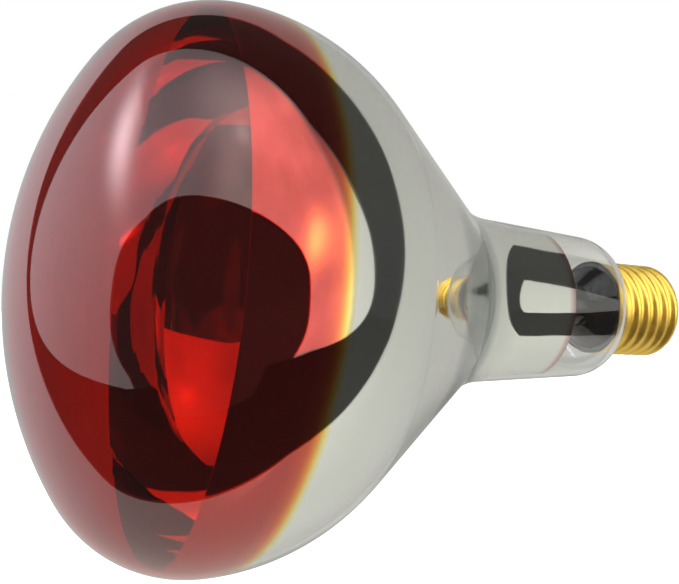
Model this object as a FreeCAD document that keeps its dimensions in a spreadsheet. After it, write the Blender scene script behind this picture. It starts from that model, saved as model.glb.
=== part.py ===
"""Reflector heat lamp: a blown glass bulb with a ruby face, a mirrored bowl and an Edison screw cap.

The lamp lies along Y. Its origin is the tip of the centre contact, the cap points to +Y and the
domed face to -Y. Drawings measure r outwards from the lamp's axis and "back" from the contact tip
towards the face, so a point at back = 30 lies at Y = -30.
"""
import FreeCAD, Part
import math
import os

import Sketcher

V = FreeCAD.Vector

# Driving dimensions, in millimetres and degrees.
SIZES = {
    # outline of the glass
    "overall_length": 186.0,
    "bulb_radius": 62.4,
    "face_radius": 90.8,
    "edge_radius": 29.5,
    "bowl_radius": 51.9,
    "bowl_slope": 37.5,
    "neck_fillet": 28.0,
    "neck_taper": 3.3,
    "neck_radius": 19.6,
    "shoulder_radius": 8.0,
    # walls and films
    "glass_wall": 1.0,
    "film_wall": 0.1,
    "stain_reach": 6.0,
    "mirror_lead": 6.2,
    "mirror_stop": 50.5,
    # screw cap
    "cap_length": 27.0,
    "shell_radius": 13.2,
    "shell_bore": 11.7,
    "lip_wall": 0.6,
    "lip_bore": 9.2,
    "lip_back": 4.6,
    "lip_bevel": 1.4,
    "skirt_length": 3.0,
    "thread_pitch": 3.629,
    "thread_arc": 1.025,
    "thread_depth": 1.07,
    "thread_land": 0.23,
    "seat_depth": 3.0,
    "seat_gap": 0.4,
    "tip_radius": 6.0,
    "contact_radius": 4.8,
    "contact_wall": 0.5,
    "contact_hole": 0.8,
    "solder_radius": 2.6,
    "solder_height": 0.8,
    "cement_depth": 5.0,
    "cement_bore": 8.6,
    # glass stem
    "stem_radius": 6.2,
    "stem_wall": 0.9,
    "stem_length": 22.0,
    "flare_depth": 5.0,
    "press_length": 9.0,
    "press_width": 13.0,
    "press_depth": 4.4,
    "exhaust_radius": 2.0,
    "exhaust_wall": 0.6,
    "exhaust_tip_back": 13.0,
    "exhaust_tip_taper": 2.0,
    "rod_radius": 1.4,
    "rod_length": 33.0,
    "button_radius": 2.8,
    # wires and filament
    "lead_spacing": 8.0,
    "lead_wire": 0.5,
    "lead_stub": 5.0,
    "lead_bend": 4.0,
    "seal_wire": 0.35,
    "outer_wire": 0.3,
    "outer_bend": 1.2,
    "wire_room": 1.0,
    "ring_radius": 13.0,
    "coil_radius": 0.8,
    "hook_wire": 0.25,
    "hook_gap": 0.2,
}

HOOK_COUNT = 4


class Size:
    """A number together with the sheet expression that gives it."""

    def __init__(self, value, text):
        self.value = value
        self.text = text

    def __add__(self, other):
        other = as_size(other)
        return Size(self.value + other.value, f"({self.text} + {other.text})")

    def __sub__(self, other):
        other = as_size(other)
        return Size(self.value - other.value, f"({self.text} - {other.text})")

    def __rsub__(self, other):
        return as_size(other) - self

    def __mul__(self, other):
        other = as_size(other)
        return Size(self.value * other.value, f"({self.text} * {other.text})")

    def __truediv__(self, other):
        other = as_size(other)
        return Size(self.value / other.value, f"({self.text} / {other.text})")

    __radd__ = __add__
    __rmul__ = __mul__


def as_size(thing):
    return thing if isinstance(thing, Size) else Size(float(thing), repr(float(thing)))


def root(a):
    return Size(math.sqrt(a.value), f"sqrt({a.text})")


def cosine(a):
    return Size(math.cos(math.radians(a.value)), f"cos({a.text} * 1deg)")


def sine(a):
    return Size(math.sin(math.radians(a.value)), f"sin({a.text} * 1deg)")


def arcsine(a):
    """Angle in degrees as a plain number."""
    return Size(math.degrees(math.asin(a.value)), f"(asin({a.text}) / 1deg)")


S = type("Sizes", (), {alias: Size(value, "Sizes." + alias) for alias, value in SIZES.items()})
ZERO = as_size(0)


# ---------------------------------------------------------------- places that several pieces share

RIM_BACK = S.cap_length
WIDEST_BACK = (S.overall_length - S.face_radius
               + root((S.face_radius - S.edge_radius) * (S.face_radius - S.edge_radius)
                      - (S.bulb_radius - S.edge_radius) * (S.bulb_radius - S.edge_radius)))
# The shoulder's arc turns square to the axis in the plane of the cap's rim, where the stem is sealed in.
SHOULDER_R = S.neck_radius - S.shoulder_radius * cosine(S.neck_taper)
SHOULDER_BACK = RIM_BACK + S.shoulder_radius
STEM_END_BACK = RIM_BACK + S.stem_length
PRESS_END_BACK = STEM_END_BACK + S.press_length
RING_BACK = PRESS_END_BACK + S.rod_length
CONTACT_BACK = S.solder_height + S.contact_wall
SEAT_BACK = S.lip_back + S.lip_wall
HALF_LEADS = S.lead_spacing / 2
RING_DROP = root(S.ring_radius * S.ring_radius - HALF_LEADS * HALF_LEADS)
HOOK_LOOP = S.coil_radius + S.hook_gap + S.hook_wire


def make_sheet(doc):
    """One spreadsheet row per driving dimension: its name and its value."""
    sheet = doc.addObject("Spreadsheet::Sheet", "Sizes")
    for row, (alias, value) in enumerate(SIZES.items(), start=1):
        sheet.set(f"A{row}", alias)
        sheet.set(f"B{row}", repr(value))
        sheet.setAlias(f"B{row}", alias)
    doc.recompute()


# ---------------------------------------------------------------- drawing helpers

def new_body(doc, label):
    body = doc.addObject("PartDesign::Body", label)
    body.Label = label
    return body


def sketch_on(body, role, name):
    """A sketch on one of the body's own origin planes."""
    plane = next(item for item in body.Origin.OriginFeatures if item.Role == role)
    sketch = body.newObject("Sketcher::SketchObject", name)
    sketch.AttachmentSupport = [(plane, "")]
    sketch.MapMode = "FlatFace"
    return sketch


def bind(sketch, kind, *places, to):
    """Add a dimension and tie it to its sheet expression; angles are in degrees."""
    value = math.radians(to.value) if kind == "Angle" else to.value
    text = f"{to.text} * 1deg" if kind == "Angle" else to.text
    index = sketch.addConstraint(Sketcher.Constraint(kind, *places, value))
    sketch.setExpression(f"Constraints[{index}]", text)


def fix_point(sketch, curve, end, r, back):
    """Hold one end of a curve at a radius from the axis and a distance back from the tip."""
    if r is ZERO:
        sketch.addConstraint(Sketcher.Constraint("PointOnObject", curve, end, -2))
    else:
        bind(sketch, "DistanceX", -1, 1, curve, end, to=r)
    bind(sketch, "DistanceY", curve, end, -1, 1, to=back)


def add_line(sketch, start, end):
    return sketch.addGeometry(Part.LineSegment(V(*start, 0), V(*end, 0)), False)


def add_arc(sketch, centre, radius, start_degrees, end_degrees):
    circle = Part.Circle(V(*centre, 0), V(0, 0, 1), radius)
    arc = Part.ArcOfCircle(circle, math.radians(start_degrees), math.radians(end_degrees))
    return sketch.addGeometry(arc, False)


def join(sketch, kind, first, first_end, second, second_end):
    sketch.addConstraint(Sketcher.Constraint(kind, first, first_end, second, second_end))


def polygon(sketch, corners):
    """A closed outline through (r, back) corners, every corner held by the sheet."""
    places = [(r.value, -back.value) for r, back in corners]
    lines = [add_line(sketch, place, places[(i + 1) % len(places)]) for i, place in enumerate(places)]
    for i, line in enumerate(lines):
        join(sketch, "Coincident", line, 2, lines[(i + 1) % len(lines)], 1)
    for line, (r, back) in zip(lines, corners):
        fix_point(sketch, line, 1, r, back)


def spin(body, sketch, degrees=as_size(360)):
    """Revolve a drawing about the lamp's axis."""
    turn = body.newObject("PartDesign::Revolution", "Spin")
    turn.Profile = sketch
    turn.ReferenceAxis = (sketch, ["V_Axis"])
    turn.setExpression("Angle", degrees.text)
    sketch.Visibility = False
    return turn


def turned(doc, label, corners):
    """A turned piece from one closed outline of (r, back) corners."""
    body = new_body(doc, label)
    sketch = sketch_on(body, "XY_Plane", label + "_outline")
    polygon(sketch, corners)
    spin(body, sketch)
    return body


# ---------------------------------------------------------------- glass wall and its two films

def face_arcs(sketch, inset):
    """Domed face and rounded edge, from the axis out to the widest ring."""
    tip = S.overall_length - inset
    dome_r, edge_r = S.face_radius - inset, S.edge_radius - inset
    dome_centre = (0.0, S.face_radius.value - S.overall_length.value)
    edge_centre = (S.bulb_radius.value - S.edge_radius.value, -WIDEST_BACK.value)
    turn = math.degrees(math.atan2(edge_centre[1] - dome_centre[1], edge_centre[0]))
    dome = add_arc(sketch, dome_centre, dome_r.value, -90, turn)
    edge = add_arc(sketch, edge_centre, edge_r.value, turn, 0)
    sketch.addConstraint(Sketcher.Constraint("PointOnObject", dome, 3, -2))
    fix_point(sketch, dome, 1, ZERO, tip)
    bind(sketch, "Radius", dome, to=dome_r)
    bind(sketch, "Radius", edge, to=edge_r)
    join(sketch, "Tangent", dome, 2, edge, 1)
    return dome, edge


def short_edge(sketch, inset, back):
    """Only the last stretch of the rounded edge, from a plane that far back to the widest ring."""
    edge_r = S.edge_radius - inset
    centre = (S.bulb_radius.value - S.edge_radius.value, -WIDEST_BACK.value)
    start = math.degrees(math.asin((WIDEST_BACK.value - back.value) / edge_r.value))
    edge = add_arc(sketch, centre, edge_r.value, start, 0)
    bind(sketch, "Radius", edge, to=edge_r)
    bind(sketch, "DistanceY", edge, 1, -1, 1, to=back)
    bind(sketch, "DistanceY", edge, 2, -1, 1, to=WIDEST_BACK)
    return edge


def bowl_arc(sketch, inset, edge, stop_back=None):
    """Rear arc from the widest ring, to a plane if one is given and else to the cone's slope."""
    bowl_r = S.bowl_radius - inset
    centre = (S.bulb_radius.value - S.bowl_radius.value, -WIDEST_BACK.value)
    sweep = S.bowl_slope.value
    if stop_back:
        sweep = math.degrees(math.asin((WIDEST_BACK.value - stop_back.value) / bowl_r.value))
    bowl = add_arc(sketch, centre, bowl_r.value, 0, sweep)
    join(sketch, "Tangent", edge, 2, bowl, 1)
    bind(sketch, "Radius", bowl, to=bowl_r)
    bind(sketch, "DistanceX", -1, 1, bowl, 1, to=S.bulb_radius - inset)
    join(sketch, "Horizontal", bowl, 3, bowl, 1)
    if stop_back:
        bind(sketch, "DistanceY", bowl, 2, -1, 1, to=stop_back)
    return bowl


def neck_r(inset, back):
    """Radius of the tapered neck at a plane, moved in by the inset square to its wall."""
    rise = (back - SHOULDER_BACK) * sine(S.neck_taper) + S.shoulder_radius - inset
    return SHOULDER_R + rise / cosine(S.neck_taper)


def neck_lines(sketch, inset, bowl, stop_back=None):
    """Cone, neck fillet and tapered neck, ending at a plane or running on into the shoulder."""
    slope, taper = math.radians(S.bowl_slope.value), math.radians(S.neck_taper.value)
    bowl_r = S.bowl_radius.value - inset.value
    fillet_r = S.neck_fillet + inset
    start = (S.bulb_radius.value - S.bowl_radius.value + bowl_r * math.cos(slope),
             -WIDEST_BACK.value + bowl_r * math.sin(slope))
    # Both walls moved out by the fillet's radius cross at its centre.
    cone_side = start[0] * math.cos(slope) + start[1] * math.sin(slope) + fillet_r.value
    neck_foot = (neck_r(inset, SHOULDER_BACK).value, -SHOULDER_BACK.value)
    neck_side = neck_foot[0] * math.cos(taper) + neck_foot[1] * math.sin(taper) + fillet_r.value
    spread = math.sin(taper - slope)
    centre = ((cone_side * math.sin(taper) - neck_side * math.sin(slope)) / spread,
              (neck_side * math.cos(slope) - cone_side * math.cos(taper)) / spread)
    cone_end = (centre[0] - fillet_r.value * math.cos(slope), centre[1] - fillet_r.value * math.sin(slope))
    neck_start = (centre[0] - fillet_r.value * math.cos(taper), centre[1] - fillet_r.value * math.sin(taper))
    stop = stop_back if stop_back else SHOULDER_BACK - (S.shoulder_radius - inset) * sine(S.neck_taper)
    neck_end = (neck_r(inset, stop).value, -stop.value)

    cone = add_line(sketch, start, cone_end)
    fillet = add_arc(sketch, centre, fillet_r.value, 180 + S.neck_taper.value, 180 + S.bowl_slope.value)
    neck = add_line(sketch, neck_start, neck_end)
    join(sketch, "Tangent", bowl, 2, cone, 1)
    bind(sketch, "Angle", cone, to=90 + S.bowl_slope)
    join(sketch, "Tangent", cone, 2, fillet, 2)
    bind(sketch, "Radius", fillet, to=fillet_r)
    join(sketch, "Tangent", fillet, 1, neck, 1)
    bind(sketch, "Angle", neck, to=90 + S.neck_taper)
    if stop_back:
        fix_point(sketch, neck, 2, neck_r(inset, stop_back), stop_back)
        return neck
    shoulder_r = S.shoulder_radius - inset
    shoulder = add_arc(sketch, (SHOULDER_R.value, -SHOULDER_BACK.value), shoulder_r.value,
                       S.neck_taper.value, 90)
    join(sketch, "Tangent", neck, 2, shoulder, 1)
    bind(sketch, "Radius", shoulder, to=shoulder_r)
    fix_point(sketch, shoulder, 3, SHOULDER_R, SHOULDER_BACK)
    join(sketch, "Vertical", shoulder, 3, shoulder, 2)
    return shoulder


def close_wall(sketch, outer_curve, outer_end, inner_curve, inner_end):
    """A straight edge across the wall between the same ends of its two chains."""
    ends = (sketch.getPoint(outer_curve, outer_end), sketch.getPoint(inner_curve, inner_end))
    line = add_line(sketch, (ends[0].x, ends[0].y), (ends[1].x, ends[1].y))
    join(sketch, "Coincident", outer_curve, outer_end, line, 1)
    join(sketch, "Coincident", inner_curve, inner_end, line, 2)


def glass_envelope(doc):
    """Blown bulb: face, edge, bowl, neck and shoulder in one wall, open where the stem is sealed in."""
    body = new_body(doc, "glass_envelope")
    sketch = sketch_on(body, "XY_Plane", "envelope_outline")
    chains = []
    for inset in (ZERO, S.glass_wall):
        dome, edge = face_arcs(sketch, inset)
        bowl = bowl_arc(sketch, inset, edge)
        chains.append((dome, neck_lines(sketch, inset, bowl)))
    close_wall(sketch, chains[0][0], 1, chains[1][0], 1)
    close_wall(sketch, chains[0][1], 2, chains[1][1], 2)
    spin(body, sketch)
    return body


def ruby_stain(doc):
    """Fired ruby film over the face, reaching a little way behind the widest ring."""
    body = new_body(doc, "ruby_stain")
    sketch = sketch_on(body, "XY_Plane", "stain_outline")
    chains = []
    for inset in (ZERO - S.film_wall, ZERO):
        dome, edge = face_arcs(sketch, inset)
        chains.append((dome, bowl_arc(sketch, inset, edge, WIDEST_BACK - S.stain_reach)))
    close_wall(sketch, chains[0][0], 1, chains[1][0], 1)
    close_wall(sketch, chains[0][1], 2, chains[1][1], 2)
    spin(body, sketch)
    return body


def mirror_coating(doc):
    """Aluminium film inside the glass, from just ahead of the widest ring to part way up the neck."""
    body = new_body(doc, "mirror_coating")
    sketch = sketch_on(body, "XY_Plane", "mirror_outline")
    chains = []
    for inset in (S.glass_wall, S.glass_wall + S.film_wall):
        edge = short_edge(sketch, inset, WIDEST_BACK + S.mirror_lead)
        bowl = bowl_arc(sketch, inset, edge)
        chains.append((edge, neck_lines(sketch, inset, bowl, S.mirror_stop)))
    close_wall(sketch, chains[0][0], 1, chains[1][0], 1)
    close_wall(sketch, chains[0][1], 2, chains[1][1], 2)
    spin(body, sketch)
    return body


# ---------------------------------------------------------------- screw cap

def screw_shell(doc):
    """Rolled brass shell: plain skirt at the glass, round thread, and an end turned in over the glass."""
    body = turned(doc, "screw_shell", [
        (S.shell_bore, RIM_BACK),
        (S.shell_radius, RIM_BACK),
        (S.shell_radius, S.lip_back + S.lip_bevel),
        (S.shell_radius - S.lip_bevel, S.lip_back),
        (S.lip_bore, S.lip_back),
        (S.lip_bore, SEAT_BACK),
        (S.shell_bore, SEAT_BACK),
    ])
    doc.recompute()
    blank = body.Shape.Volume

    half_pitch = S.thread_pitch / 2
    first_back = RIM_BACK - S.skirt_length - half_pitch
    sketch = sketch_on(body, "XY_Plane", "thread_outline")
    thread_valley(sketch, first_back, half_pitch)
    groove = body.newObject("PartDesign::SubtractiveHelix", "Thread")
    groove.Profile = sketch
    groove.ReferenceAxis = (sketch, ["V_Axis"])
    groove.Mode = "pitch-height-angle"
    groove.setExpression("Pitch", S.thread_pitch.text)
    groove.setExpression("Height", (first_back - S.lip_back + S.thread_pitch).text)
    groove.setExpression("Angle", "0")
    sketch.Visibility = False
    doc.recompute()
    if not body.Shape.Volume < 0.97 * blank:
        raise RuntimeError("the thread cut nothing from the shell")
    return body


def thread_valley(sketch, first_back, half_pitch):
    """One valley of the round thread, between the flanks of the crests half a pitch to each side."""
    valley_r = S.shell_radius - S.thread_depth + S.thread_arc
    crest_r = valley_r - root(4 * S.thread_arc * S.thread_arc - half_pitch * half_pitch)
    lean = math.degrees(math.atan2(half_pitch.value, valley_r.value - crest_r.value))
    reach = math.degrees(math.asin(S.thread_land.value / 2 / S.thread_arc.value))
    out_r = S.shell_radius + S.thread_arc

    valley = add_arc(sketch, (valley_r.value, -first_back.value), S.thread_arc.value, 180 - lean, 180 + lean)
    fix_point(sketch, valley, 3, valley_r, first_back)
    bind(sketch, "Radius", valley, to=S.thread_arc)
    sides = []
    for step, spans, valley_end, flank_end in ((1, (-lean, -reach), 1, 1), (-1, (reach, lean), 2, 2)):
        centre_back = first_back - step * half_pitch
        land_back = centre_back + step * S.thread_land / 2
        flank = add_arc(sketch, (crest_r.value, -centre_back.value), S.thread_arc.value, *spans)
        join(sketch, "Tangent", valley, valley_end, flank, flank_end)
        bind(sketch, "Radius", flank, to=S.thread_arc)
        bind(sketch, "DistanceY", flank, 3, -1, 1, to=centre_back)
        bind(sketch, "DistanceY", flank, 3 - flank_end, -1, 1, to=land_back)
        land = sketch.getPoint(flank, 3 - flank_end)
        side = add_line(sketch, (land.x, land.y), (out_r.value, land.y))
        join(sketch, "Coincident", flank, 3 - flank_end, side, 1)
        sketch.addConstraint(Sketcher.Constraint("Horizontal", side))
        bind(sketch, "DistanceX", -1, 1, side, 2, to=out_r)
        sides.append((side, land.y))
    back = add_line(sketch, (out_r.value, sides[0][1]), (out_r.value, sides[1][1]))
    join(sketch, "Coincident", sides[0][0], 2, back, 1)
    join(sketch, "Coincident", sides[1][0], 2, back, 2)


def base_insulator(doc):
    """Black glass: a flange under the turned-in lip, a neck through it and a cone up to the contact."""
    inner_back = SEAT_BACK + S.seat_depth
    return turned(doc, "base_insulator", [
        (S.contact_hole, inner_back),
        (S.shell_bore - S.seat_gap, inner_back),
        (S.shell_bore - S.seat_gap, SEAT_BACK),
        (S.lip_bore, SEAT_BACK),
        (S.lip_bore, S.lip_back),
        (S.tip_radius, CONTACT_BACK),
        (S.contact_hole, CONTACT_BACK),
    ])


def centre_contact(doc):
    """Brass disc on the insulator's tip, with a hole for the lead."""
    return turned(doc, "centre_contact", [
        (S.contact_hole, CONTACT_BACK),
        (S.contact_radius, CONTACT_BACK),
        (S.contact_radius, S.solder_height),
        (S.contact_hole, S.solder_height),
    ])


def centre_solder(doc):
    """Low dome of solder over the contact's hole; its top is the lamp's origin."""
    body = new_body(doc, "centre_solder")
    sketch = sketch_on(body, "XY_Plane", "solder_outline")
    base_r, height = S.solder_radius.value, S.solder_height.value
    dome_r = (base_r ** 2 + height ** 2) / (2 * height)
    dome = add_arc(sketch, (0, -dome_r), dome_r, math.degrees(math.atan2(dome_r - height, base_r)), 90)
    sketch.addConstraint(Sketcher.Constraint("PointOnObject", dome, 3, -2))
    join(sketch, "Coincident", dome, 2, -1, 1)
    fix_point(sketch, dome, 1, S.solder_radius, S.solder_height)
    axis = add_line(sketch, (0, 0), (0, -height))
    join(sketch, "Coincident", dome, 2, axis, 1)
    sketch.addConstraint(Sketcher.Constraint("Vertical", axis))
    base = add_line(sketch, (0, -height), (base_r, -height))
    join(sketch, "Coincident", axis, 2, base, 1)
    join(sketch, "Coincident", base, 2, dome, 1)
    sketch.addConstraint(Sketcher.Constraint("Horizontal", base))
    spin(body, sketch)
    return body


def basing_cement(doc):
    """Ring of cement inside the shell, between its bore and the sealed end of the glass."""
    return turned(doc, "basing_cement", [
        (S.cement_bore, RIM_BACK),
        (S.shell_bore, RIM_BACK),
        (S.shell_bore, RIM_BACK - S.cement_depth),
        (S.cement_bore, RIM_BACK - S.cement_depth),
    ])


# ---------------------------------------------------------------- glass stem

def stem_flare(doc):
    """Glass tube flared out to the envelope's end and running into the neck as far as the press."""
    bore = S.stem_radius - S.stem_wall
    return turned(doc, "stem_flare", [
        (SHOULDER_R, RIM_BACK),
        (SHOULDER_R, RIM_BACK + S.glass_wall),
        (S.stem_radius, RIM_BACK + S.glass_wall + S.flare_depth),
        (S.stem_radius, STEM_END_BACK),
        (bore, STEM_END_BACK),
        (bore, RIM_BACK + S.flare_depth),
    ])


def exhaust_tube(doc):
    """Thin glass tube down the stem, drawn to a closed tip inside the cap."""
    tip_back = S.exhaust_tip_back
    bore = S.exhaust_radius - S.exhaust_wall
    return turned(doc, "exhaust_tube", [
        (ZERO, tip_back),
        (bore, tip_back),
        (S.exhaust_radius, tip_back + S.exhaust_tip_taper),
        (S.exhaust_radius, STEM_END_BACK),
        (bore, STEM_END_BACK),
        (bore, tip_back + S.exhaust_tip_taper + S.exhaust_wall),
        (ZERO, tip_back + S.exhaust_tip_taper),
    ])


def stem_press(doc):
    """Flat pinched end of the stem, bored where the two seal wires pass through it."""
    body = new_body(doc, "stem_press")
    sketch = sketch_on(body, "XZ_Plane", "press_section")
    sketch.setExpression("AttachmentOffset.Base.z", STEM_END_BACK.text)
    end_r = S.press_depth / 2
    end_x = (S.press_width - S.press_depth) / 2
    r, x = end_r.value, end_x.value
    right = add_arc(sketch, (x, 0), r, -90, 90)
    left = add_arc(sketch, (-x, 0), r, 90, 270)
    top = add_line(sketch, (x, r), (-x, r))
    bottom = add_line(sketch, (-x, -r), (x, -r))
    join(sketch, "Tangent", right, 2, top, 1)
    join(sketch, "Tangent", top, 2, left, 1)
    join(sketch, "Tangent", left, 2, bottom, 1)
    join(sketch, "Tangent", bottom, 2, right, 1)
    for arc in (right, left):
        sketch.addConstraint(Sketcher.Constraint("PointOnObject", arc, 3, -1))
    bind(sketch, "DistanceX", -1, 1, right, 3, to=end_x)
    bind(sketch, "DistanceX", left, 3, -1, 1, to=end_x)
    bind(sketch, "Radius", right, to=end_r)
    for side in (1, -1):
        hole = sketch.addGeometry(Part.Circle(V(side * HALF_LEADS.value, 0, 0), V(0, 0, 1), S.seal_wire.value))
        places = (-1, 1, hole, 3) if side > 0 else (hole, 3, -1, 1)
        bind(sketch, "DistanceX", *places, to=HALF_LEADS)
        sketch.addConstraint(Sketcher.Constraint("PointOnObject", hole, 3, -1))
        bind(sketch, "Radius", hole, to=S.seal_wire)
    pad = body.newObject("PartDesign::Pad", "Press")
    pad.Profile = sketch
    pad.setExpression("Length", S.press_length.text)
    sketch.Visibility = False
    return body


def along_axis(doc, label, radius, start_back, length, offset=ZERO):
    """A plain round rod that runs from a plane towards the face."""
    rod = doc.addObject("Part::Cylinder", label)
    rod.Label = label
    rod.setExpression("Radius", radius.text)
    rod.setExpression("Height", length.text)
    rod.Placement = FreeCAD.Placement(V(0, 0, 0), FreeCAD.Rotation(V(1, 0, 0), 90))
    rod.setExpression("Placement.Base.x", offset.text)
    rod.setExpression("Placement.Base.y", f"-{start_back.text}")
    return rod


def support_button(doc):
    """Glass bead melted round the rod's end, where the filament hooks are set."""
    bead = doc.addObject("Part::Sphere", "button_bead")
    bead.setExpression("Radius", S.button_radius.text)
    bead.setExpression("Placement.Base.y", f"-{RING_BACK.text}")
    rod = along_axis(doc, "button_socket", S.rod_radius, PRESS_END_BACK, S.rod_length)
    button = doc.addObject("Part::Cut", "support_button")
    button.Label = "support_button"
    button.Base = bead
    button.Tool = rod
    return button


# ---------------------------------------------------------------- wires and filament

def bent_wire(doc, label, corners, radius, bend, spin_degrees=ZERO, offset=ZERO):
    """A round wire through (r, back) corners, bent to one radius; its first run lies along Y."""
    body = new_body(doc, label)
    path = sketch_on(body, "XY_Plane", label + "_path")
    places = [V(r.value, -back.value, 0) for r, back in corners]
    trims = [0.0]
    for before, here, after in zip(places, places[1:], places[2:]):
        turn = (here - before).getAngle(after - here)
        trims.append(bend.value * math.tan(turn / 2))
    trims.append(0.0)
    runs = []
    for i, (here, after) in enumerate(zip(places, places[1:])):
        way = (after - here).normalize()
        start, end = here + way * trims[i], after - way * trims[i + 1]
        runs.append((add_line(path, (start.x, start.y), (end.x, end.y)), start, end, way))
    fix_point(path, runs[0][0], 1, *corners[0])
    for i, (first, second) in enumerate(zip(runs, runs[1:])):
        left_turn = first[3].cross(second[3]).z > 0
        normal = V(-first[3].y, first[3].x, 0) * (1 if left_turn else -1)
        centre = first[2] + normal * bend.value
        ends = [math.degrees(math.atan2(p.y - centre.y, p.x - centre.x)) for p in (first[2], second[1])]
        arc = add_arc(path, (centre.x, centre.y), bend.value, *(ends if left_turn else ends[::-1]))
        join(path, "Tangent", first[0], 2, arc, 1 if left_turn else 2)
        join(path, "Tangent", second[0], 1, arc, 2 if left_turn else 1)
        bind(path, "Radius", arc, to=bend)
        hold_corner(path, corners[i + 1], first[0], second[0])
    fix_point(path, runs[-1][0], 2, *corners[-1])

    section = sketch_on(body, "XZ_Plane", label + "_section")
    section.setExpression("AttachmentOffset.Base.z", corners[0][1].text)
    ring = section.addGeometry(Part.Circle(V(corners[0][0].value, 0, 0), V(0, 0, 1), radius.value))
    section.addConstraint(Sketcher.Constraint("PointOnObject", ring, 3, -1))
    if corners[0][0] is ZERO:
        section.addConstraint(Sketcher.Constraint("PointOnObject", ring, 3, -2))
    else:
        bind(section, "DistanceX", -1, 1, ring, 3, to=corners[0][0])
    bind(section, "Radius", ring, to=radius)
    pipe = body.newObject("PartDesign::AdditivePipe", "Wire")
    pipe.Profile = section
    pipe.Spine = path
    path.Visibility = section.Visibility = False
    body.Placement = FreeCAD.Placement(V(0, 0, 0), FreeCAD.Rotation(V(0, 1, 0), spin_degrees.value))
    body.setExpression("Placement.Base.x", offset.text)
    return body


def hold_corner(path, corner, first, second):
    """A construction point at the corner, on both of the straight runs that meet there."""
    r, back = corner
    point = path.addGeometry(Part.Point(V(r.value, -back.value, 0)), True)
    fix_point(path, point, 1, r, back)
    join_point(path, point, first)
    join_point(path, point, second)


def join_point(path, point, line):
    path.addConstraint(Sketcher.Constraint("PointOnObject", point, 1, line))


def filament_coil(doc):
    """Outer shape of the wound filament: a ring about the axis, open where the two leads reach it."""
    body = new_body(doc, "filament_coil")
    sketch = sketch_on(body, "XY_Plane", "coil_section")
    ring = sketch.addGeometry(Part.Circle(V(S.ring_radius.value, -RING_BACK.value, 0), V(0, 0, 1),
                                          S.coil_radius.value))
    fix_point(sketch, ring, 3, S.ring_radius, RING_BACK)
    bind(sketch, "Radius", ring, to=S.coil_radius)
    spin(body, sketch, coil_span())
    body.Placement = FreeCAD.Placement(V(0, 0, 0), FreeCAD.Rotation(V(0, 1, 0), 0))
    body.setExpression("Placement.Rotation.Angle", f"(-90 - {coil_span().text} / 2 + 360) * 1deg")
    return body


def coil_span():
    return 360 - 2 * arcsine(HALF_LEADS / S.ring_radius)


def filament_hook(doc, number):
    """Thin wire from the button out to the filament, curled once round it."""
    body = new_body(doc, f"filament_hook_{number}")
    path = sketch_on(body, "XY_Plane", "hook_path")
    root_r = S.button_radius / 2
    loop_back = RING_BACK + HOOK_LOOP
    run = add_line(path, (root_r.value, -loop_back.value), (S.ring_radius.value, -loop_back.value))
    fix_point(path, run, 1, root_r, loop_back)
    path.addConstraint(Sketcher.Constraint("Horizontal", run))
    loop = add_arc(path, (S.ring_radius.value, -RING_BACK.value), HOOK_LOOP.value, -90, 180)
    fix_point(path, loop, 3, S.ring_radius, RING_BACK)
    join(path, "Tangent", run, 2, loop, 1)
    join(path, "Horizontal", loop, 2, loop, 3)
    section = sketch_on(body, "YZ_Plane", "hook_section")
    section.setExpression("AttachmentOffset.Base.z", root_r.text)
    ring = section.addGeometry(Part.Circle(V(-loop_back.value, 0, 0), V(0, 0, 1), S.hook_wire.value))
    section.addConstraint(Sketcher.Constraint("PointOnObject", ring, 3, -1))
    bind(section, "DistanceX", ring, 3, -1, 1, to=loop_back)
    bind(section, "Radius", ring, to=S.hook_wire)
    pipe = body.newObject("PartDesign::AdditivePipe", "Hook")
    pipe.Profile = section
    pipe.Spine = path
    path.Visibility = section.Visibility = False
    share = number / (HOOK_COUNT + 1)
    angle = 90 + (360 - coil_span()) / 2 + share * coil_span()
    body.Placement = FreeCAD.Placement(V(0, 0, 0), FreeCAD.Rotation(V(0, 1, 0), 1))
    body.setExpression("Placement.Rotation.Angle", f"{angle.text} * 1deg")
    return body


def leads(doc):
    """Wires in and out of the press, a pair of each, and the two that reach the cap."""
    minus = ZERO - HALF_LEADS
    rise = [(ZERO, PRESS_END_BACK), (ZERO, PRESS_END_BACK + S.lead_stub), (RING_DROP, RING_BACK)]
    pieces = []
    for side, offset in (("left", minus), ("right", HALF_LEADS)):
        pieces.append(bent_wire(doc, f"inner_lead_{side}", rise, S.lead_wire, S.lead_bend, as_size(90), offset))
        pieces.append(along_axis(doc, f"seal_wire_{side}", S.seal_wire, STEM_END_BACK, S.press_length, offset))
    inner_face = SEAT_BACK + S.seat_depth
    turn_back = S.exhaust_tip_back + S.wire_room
    pieces.append(bent_wire(doc, "outer_lead_centre", [
        (HALF_LEADS, STEM_END_BACK),
        (HALF_LEADS, turn_back),
        (ZERO, inner_face + S.wire_room),
        (ZERO, S.solder_height),
    ], S.outer_wire, S.outer_bend))
    pieces.append(bent_wire(doc, "outer_lead_side", [
        (HALF_LEADS, STEM_END_BACK),
        (HALF_LEADS, turn_back + S.outer_bend),
        (S.shell_bore - S.outer_wire - S.wire_room, inner_face + 2 * S.wire_room),
    ], S.outer_wire, S.outer_bend, as_size(180)))
    return pieces


def side_weld(doc):
    """Blob of solder that fixes the side lead's end to the shell's bore."""
    blob = doc.addObject("Part::Sphere", "side_weld_blob")
    blob.setExpression("Radius", S.wire_room.text)
    reach = S.shell_bore - S.wire_room
    blob.setExpression("Placement.Base.x", f"-{reach.text}")
    blob.setExpression("Placement.Base.y", f"-{(SEAT_BACK + S.seat_depth + 2 * S.wire_room).text}")
    blob.Label = "side_weld"
    return blob


# ---------------------------------------------------------------- build, check and write

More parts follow.
